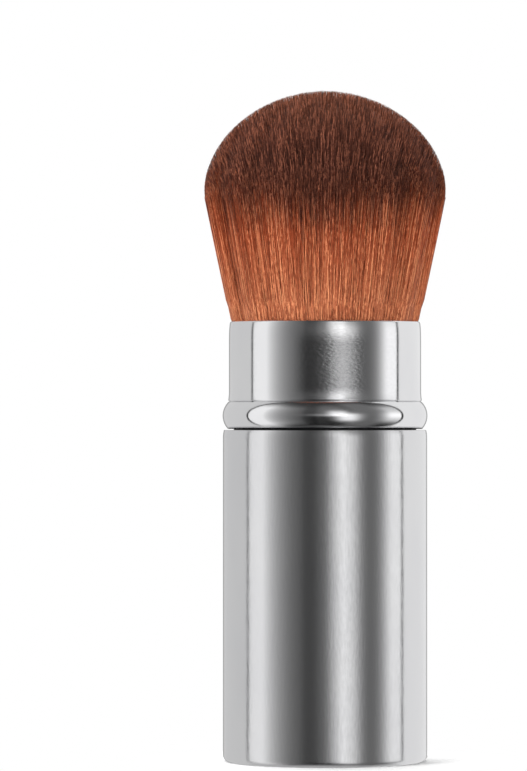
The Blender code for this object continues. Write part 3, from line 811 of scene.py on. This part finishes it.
def sideHairs(draw):
    # Long hairs from the root to the outline along r = u * fan(height), with u from just under 1
    # to 1. Some stand in clumps. Each one leans, ripples and waves round the head on its way up.
    h = hair["side"]
    n = h["count"]
    u = 1 - h["depth"] * draw.random(n) ** h["depthPower"]
    tipHeight = tipHeights(u)
    tipHeight += draw.normal(0, hair["tipScatter"] * h["tipScatter"], n)
    start = draw.random(n) * math.tau
    clumpAt = draw.random(h["clumps"]) * math.tau
    clumpPull = draw.random(h["clumps"])
    member = draw.integers(h["clumps"], size=n)
    loose = draw.random(n) < h["looseShare"]
    gathered = clumpAt[member] + draw.normal(0, h["clumpWidth"], n) / hair["widestRadius"]
    start = np.where(loose, start, gathered) % math.tau
    u = np.where(loose, u, u * (1 - h["clumpPull"] * clumpPull[member]))
    step = np.linspace(0, 1, h["points"])
    up = hair["root"] + (tipHeight[:, None] - hair["root"]) * step
    lean = draw.normal(0, hair["lean"], n)
    broad, fine = h["rippleTurns"]
    swayed = start * broad + h["rippleSway"] * np.sin(start * h["swayTurns"])
    ripple = h["ripple"] * np.sin(swayed) + h["ripple"] * np.sin(start * fine)
    wave = draw.normal(0, h["wave"], n)
    push = (lean[:, None] + ripple[:, None]) * step ** h["bend"]
    turns = scattered(draw, h["waveTurns"], n)[:, None]
    push += wave[:, None] * np.sin(step * turns + lean[:, None] * h["waveShift"])
    reach = u[:, None] * fanRadius(up) - np.abs(draw.normal(0, h["sink"], n))[:, None] * step
    paths = polar(reach, start[:, None] + push / reach, up)
    radius = hairRadius(draw, h, step)
    dark = hairDark(draw, up, start)
    # shades are dealt out layer by layer and in turn round the head, so that neighbours differ
    layer = np.argsort(np.argsort(-u)) // h["layer"]
    dealt = np.empty(n)
    dealt[np.lexsort((start, layer))] = np.arange(n) * goldenShare % 1
    tone = np.where(loose, 0, h["clumpTone"] * (draw.random(h["clumps"])[member] - 0.5)) + dealt
    turns = scattered(draw, h["toneTurns"], n)[:, None]
    change = h["lengthTone"] * np.sin(step * turns + draw.random(n)[:, None] * math.tau)
    return paths, radius, start, dark, np.clip(tone[:, None] + change, 0, 1)


def domeHairs(draw):
    # Short hairs whose tips fill the dome evenly: hair i of n has u = the square root of i / n and
    # stands at i golden turns. Their tips scatter most at the top of the dome.
    h = hair["dome"]
    n = h["count"]
    u = np.sqrt((np.arange(n) + draw.random(n)) / n)
    start = (np.arange(n) * goldenTurn + draw.normal(0, h["turnScatter"], n)) % math.tau
    scatter = h["edgeScatter"] + h["topScatter"] * np.abs(np.cos(u * h["scatterTurn"]))
    tipHeight = tipHeights(u) + draw.normal(0, hair["tipScatter"], n) * scatter
    length = scattered(draw, h["length"], n)
    step = np.linspace(0, 1, h["points"])
    up = tipHeight[:, None] - length[:, None] * (1 - step)
    lean = draw.normal(0, hair["lean"] * h["lean"], n)
    reach = u[:, None] * fanRadius(up) * (1 - h["gather"] * (1 - step) ** h["gatherPower"])
    angle = start[:, None] + lean[:, None] * step / np.maximum(reach, h["leastReach"])
    radius = hairRadius(draw, h, step)
    dark = hairDark(draw, up, start)
    tone = np.repeat(domeTone(draw, start, u)[:, None], h["points"], axis=1)
    return polar(reach, angle, up), radius, start, dark, tone


def domeTone(draw, angle, share):
    # each hair's own shade, partly shared with the hairs in the same row across or along the dome
    h = hair["dome"]
    rows = h["rows"]
    cells = draw.random((2, rows))
    across = ((share * np.sin(angle) * 0.5 + 0.5) * rows).astype(int)
    along = ((share * np.cos(angle) * 0.5 + 0.5) * rows).astype(int)
    shared = (cells[0, along % rows] + cells[1, across % rows]) / 2
    own = (draw.random(len(angle)) - 0.5) * (1 - h["alike"]) * h["ownTone"]
    return np.clip(0.5 + own + (shared - 0.5) * h["alike"] * h["sharedTone"], 0, 1)


def growHair(material):
    # Each sector of the head is one piece: its dense inside, and the hairs that start in it.
    draw = np.random.default_rng(hair["seed"])
    grown = (sideHairs(draw), domeHairs(draw))
    made = []
    width = math.tau / hair["sectors"]
    for number in range(hair["sectors"]):
        first = number * width
        middle = first + width / 2
        points, corners, sizes = wedge(first, first + width)
        dark = darkShare(points[:, 2], np.full(len(points), middle), 0.0)
        # the dense inside gets the low tone: painted shade seen in the gaps between the hairs
        parts = [(points, corners, sizes, dark, np.full(len(points), hair["corePaintedShadeTone"]))]
        for paths, radius, turn, darkness, tone in grown:
            inside = (turn % math.tau >= first) & (turn % math.tau < first + width)
            threads = fibres(paths[inside], radius[inside], turn[inside] * hair["roll"])
            shades = [np.repeat(values[inside].ravel(), hair["sides"]) for values in (darkness, tone)]
            parts.append((*threads, *shades))
        offset = np.cumsum([0] + [len(part[0]) for part in parts[:-1]])
        points = np.concatenate([part[0] for part in parts])
        corners = np.concatenate([part[1] + shift for part, shift in zip(parts, offset)])
        sizes = np.concatenate([part[2] for part in parts])
        piece = makeObject(f"hair_{number + 1:02d}", points * mm, corners, sizes, material)
        for name, column in (("darkness", 3), ("tone", 4)):
            values = np.concatenate([part[column] for part in parts]).astype(np.float32)
            piece.data.attributes.new(name, "FLOAT", "POINT").data.foreach_set("value", values)
        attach(piece, "handle")
        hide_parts("bristle_tuft")
        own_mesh(piece)
        made.append(piece)
    return made


finishes["brownFibre"] = hairMaterial()
hairPieces = growHair(finishes["brownFibre"])
print(f"hair made: {sum(len(piece.data.polygons) for piece in hairPieces)} faces")


# the hidden parts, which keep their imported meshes, and the five that are replaced above
packedFinish = {
    "barrel_liner": "blackMoulding",
    "base_weight": "weightSteel",
    "bumper_ring": "silicone",
    "head_stem": "stemMoulding",
    "stem_washer": "weightSteel",
    "stem_screw": "weightSteel",
    "ferrule": "plainAluminium",
    "epoxy_plug": "epoxy",
    "friction_ring": "silicone",
    "barrel_shell": "weightSteel",
    "mouth_bush": "acetal",
    "collar_shell": "plainAluminium",
    "slider_tube": "blackMoulding",
    "bristle_tuft": "brownFibre",
}
for name, finish in packedFinish.items():
    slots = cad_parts[name].data.materials
    slots.clear()
    slots.append(finishes[finish])
print("packed parts finished")


table = {"radius": 900, "segments": 96, "shadowRadius": (18, 32), "colour": (246, 246, 246)}
studio = {
    # azimuth is measured from the camera, to the right, and elevation from the horizon
    "front": {"elevation": (-20, 40), "light": (0.01, 0.042)},
    # the pale lower studio, which the metal mirrors when it is seen from above, but for a shade
    # in front of the brush
    "below": {
        "elevation": (-48, -24), "light": 0.5,
        "shade": (-60, 90), "fade": (10, 10), "power": 2, "shadeFoot": (-74, -58),
    },
    "boxes": [
        {"azimuth": (-96, -75), "fade": (0.4, 20), "power": 1,
         "elevation": (-35, 36), "edge": (17, 16), "light": 0.95},
        {"azimuth": (-22, -14), "fade": (5, 6), "power": 2,
         "elevation": (-35, 36), "edge": (17, 16), "light": -0.034},
        {"azimuth": (24, 28), "fade": (10.8, 11.5), "power": 2,
         "elevation": (-18, 2), "edge": (12, 10), "light": 0.96},
        {"azimuth": (11, 18), "fade": (8, 8), "power": 2,
         "elevation": (3, 15), "edge": (5.5, 13), "light": 0.82},
        {"azimuth": (-2, 12), "fade": (15, 10), "power": 1.5,
         "elevation": (2, 5), "edge": (3.5, 4.5), "light": 0.32},
        {"azimuth": (2, 12), "fade": (14, 12), "power": 2,
         "elevation": (20, 50), "edge": (10, 14), "light": 0.09},
        {"azimuth": (40, 62), "fade": (14, 14), "power": 2,
         "elevation": (-50, 60), "edge": (14, 14), "light": 0.12},
        {"azimuth": (82.5, 95.6), "fade": (14, 0.4), "power": 2,
         "elevation": (-16, 2), "edge": (14, 14), "light": 0.6},
        {"azimuth": (84, 95.6), "fade": (13, 0.4), "power": 2,
         "elevation": (2, 30), "edge": (14, 14), "light": 0.6},
    ],
    "edgePower": 2,
    # a card behind the brush with a darker stand in its middle; side is a span of the direction's X,
    # depth and stand of its Y and foot of its Z
    "backdrop": {
        "light": (0.66, 0.88), "side": (-0.3, 0.3), "depth": (0.156, 0.168),
        "foot": (-0.78, -0.6), "stand": (0.93, 0.99), "standLight": 0.3,
    },
}
lamps = {
    "key": {"azimuth": -48, "elevation": 28, "distance": 700, "size": 420, "power": 5.4},
    "fill": {"azimuth": 24, "elevation": 12, "distance": 800, "size": 500, "power": 4.9},
    "top": {"azimuth": -160, "elevation": 68, "distance": 700, "size": 450, "power": 4.0},
}
lampTarget = 80  # the height that the lamps look at
camera = {
    "distance": 800, "height": 57.6, "targetSide": -10.25, "targetHeight": 62.55,
    "viewHeight": 128.5,  # what fills the picture's height at that distance
    "sensor": 36, "clip": (0.01, 10),  # the clip in metres
}


def makeTable():
    # a flat disc that takes the shadow near the brush and turns to plain white further out
    count = table["segments"]
    ring = polar(1.0, np.linspace(0, math.tau, count, endpoint=False), 0.0) * table["radius"] * mm
    points = np.concatenate([[[0, 0, 0]], ring])
    number = np.arange(count)
    corners = np.stack([0 * number, number + 1, (number + 1) % count + 1], axis=1).reshape(-1)
    made, tree, shader = newMaterial("tablePaper")
    fill(tree, shader, {"Base Color": linear(table["colour"]), "Roughness": 0.9, "Specular IOR Level": 0.1})
    place = addNode(tree, "ShaderNodeTexCoord").outputs["Object"]
    reach = addNode(tree, "ShaderNodeVectorMath", {0: place}, operation="LENGTH").outputs["Value"]
    direct = addNode(tree, "ShaderNodeLightPath").outputs["Is Camera Ray"]
    seen = product(tree, easeOver(tree, reach, table["shadowRadius"]), direct)
    white = addNode(tree, "ShaderNodeEmission", {"Color": (1, 1, 1, 1), "Strength": 1.0})
    sockets = {0: seen, 1: shader.outputs[0], 2: white.outputs[0]}
    both = addNode(tree, "ShaderNodeMixShader", sockets)
    fill(tree, tree.nodes["Material Output"], {"Surface": both.outputs[0]})
    floor = makeObject("table", points, corners, np.full(count, 3), made)
    floor.visible_glossy = False


def within(tree, value, span, fade, power):
    # 1 inside the span, and e to the minus (distance / fade) ** power outside it
    before = calc(tree, "MAXIMUM", calc(tree, "SUBTRACT", span[0], value), 0.0)
    after = calc(tree, "MAXIMUM", calc(tree, "SUBTRACT", value, span[1]), 0.0)
    away = calc(tree, "ADD", calc(tree, "DIVIDE", before, fade[0]), calc(tree, "DIVIDE", after, fade[1]))
    return calc(tree, "EXPONENT", product(tree, calc(tree, "POWER", away, power), -1.0))


def makeWorld():
    # Soft boxes in front of the brush, a pale backdrop behind it and a pale studio below, by direction.
    # The camera sees plain white; every other ray sees the studio.
    world = bpy.data.worlds.new("studio")
    bpy.context.scene.world = world
    world.use_nodes = True
    tree = world.node_tree
    tree.nodes.clear()
    place = addNode(tree, "ShaderNodeTexCoord").outputs["Generated"]
    axes = addNode(tree, "ShaderNodeSeparateXYZ", {"Vector": place}).outputs
    azimuth = calc(tree, "DEGREES", calc(tree, "ARCTAN2", axes["X"], product(tree, axes["Y"], -1.0)))
    elevation = calc(tree, "DEGREES", calc(tree, "ARCSINE", axes["Z"]))
    front, below, back = studio["front"], studio["below"], studio["backdrop"]
    light = ease(tree, elevation, *front["elevation"], *front["light"])
    for box in studio["boxes"]:
        across = within(tree, azimuth, box["azimuth"], box["fade"], box["power"])
        upright = within(tree, elevation, box["elevation"], box["edge"], studio["edgePower"])
        light = calc(tree, "ADD", light, product(tree, across, upright, box["light"]))
        light = calc(tree, "MAXIMUM", light, 0.0)
    shade = within(tree, azimuth, below["shade"], below["fade"], below["power"])
    shade = product(tree, shade, ease(tree, elevation, *below["shadeFoot"]))
    lower = ease(tree, elevation, *below["elevation"], below["light"], 0.0)
    light = calc(tree, "MAXIMUM", light, product(tree, lower, calc(tree, "SUBTRACT", 1.0, shade)))
    # the backdrop brightens to the right, and beside is 0 on its darker stand and 1 off it
    behind = product(tree, ease(tree, axes["Y"], *back["depth"]), ease(tree, axes["Z"], *back["foot"]))
    pale = ease(tree, axes["X"], *back["side"], *back["light"])
    beside = ease(tree, axes["Y"], *back["stand"], 1.0, 0.0)
    light = mixValue(tree, behind, light, mixValue(tree, beside, back["standLight"], pale))
    direct = addNode(tree, "ShaderNodeLightPath").outputs["Is Camera Ray"]
    seen = mixValue(tree, direct, light, 1.0)
    shine = addNode(tree, "ShaderNodeBackground", {"Color": (1, 1, 1, 1), "Strength": seen})
    addNode(tree, "ShaderNodeOutputWorld", {"Surface": shine.outputs[0]})


def direction(azimuth, elevation):
    # a unit vector from the brush, with azimuth 0 towards the camera
    a, e = math.radians(azimuth), math.radians(elevation)
    return np.array([math.sin(a) * math.cos(e), -math.cos(a) * math.cos(e), math.sin(e)])


def aim(item, position, target):
    # places a camera or lamp and turns it to look at the target
    item.location = position
    away = Vector((target - position).tolist())
    item.rotation_euler = away.to_track_quat("-Z", "Y").to_euler()


def makeLamps():
    # broad soft lamps that light the hair and the table, and don't mirror in the metal
    middle = np.array([0, 0, lampTarget * mm])
    for name, lamp in lamps.items():
        data = bpy.data.lights.new(name, "AREA")
        data.size = lamp["size"] * mm
        data.energy = lamp["power"]
        item = bpy.data.objects.new(name, data)
        item.visible_glossy = False
        bpy.context.scene.collection.objects.link(item)
        aim(item, middle + direction(lamp["azimuth"], lamp["elevation"]) * lamp["distance"] * mm, middle)


def makeCamera():
    # a long lens just above the barrel's rim, with the brush right of the picture's middle
    data = bpy.data.cameras.new("camera")
    data.sensor_width = camera["sensor"]
    data.lens = data.sensor_width * camera["distance"] / camera["viewHeight"]
    data.clip_start, data.clip_end = camera["clip"]
    item = bpy.data.objects.new("camera", data)
    bpy.context.scene.collection.objects.link(item)
    bpy.context.scene.camera = item
    position = np.array([0, -camera["distance"], camera["height"]]) * mm
    aim(item, position, np.array([camera["targetSide"], 0, camera["targetHeight"]]) * mm)


makeTable()
makeWorld()
makeLamps()
makeCamera()
bpy.context.scene.view_settings.view_transform = "Standard"
print("studio made")
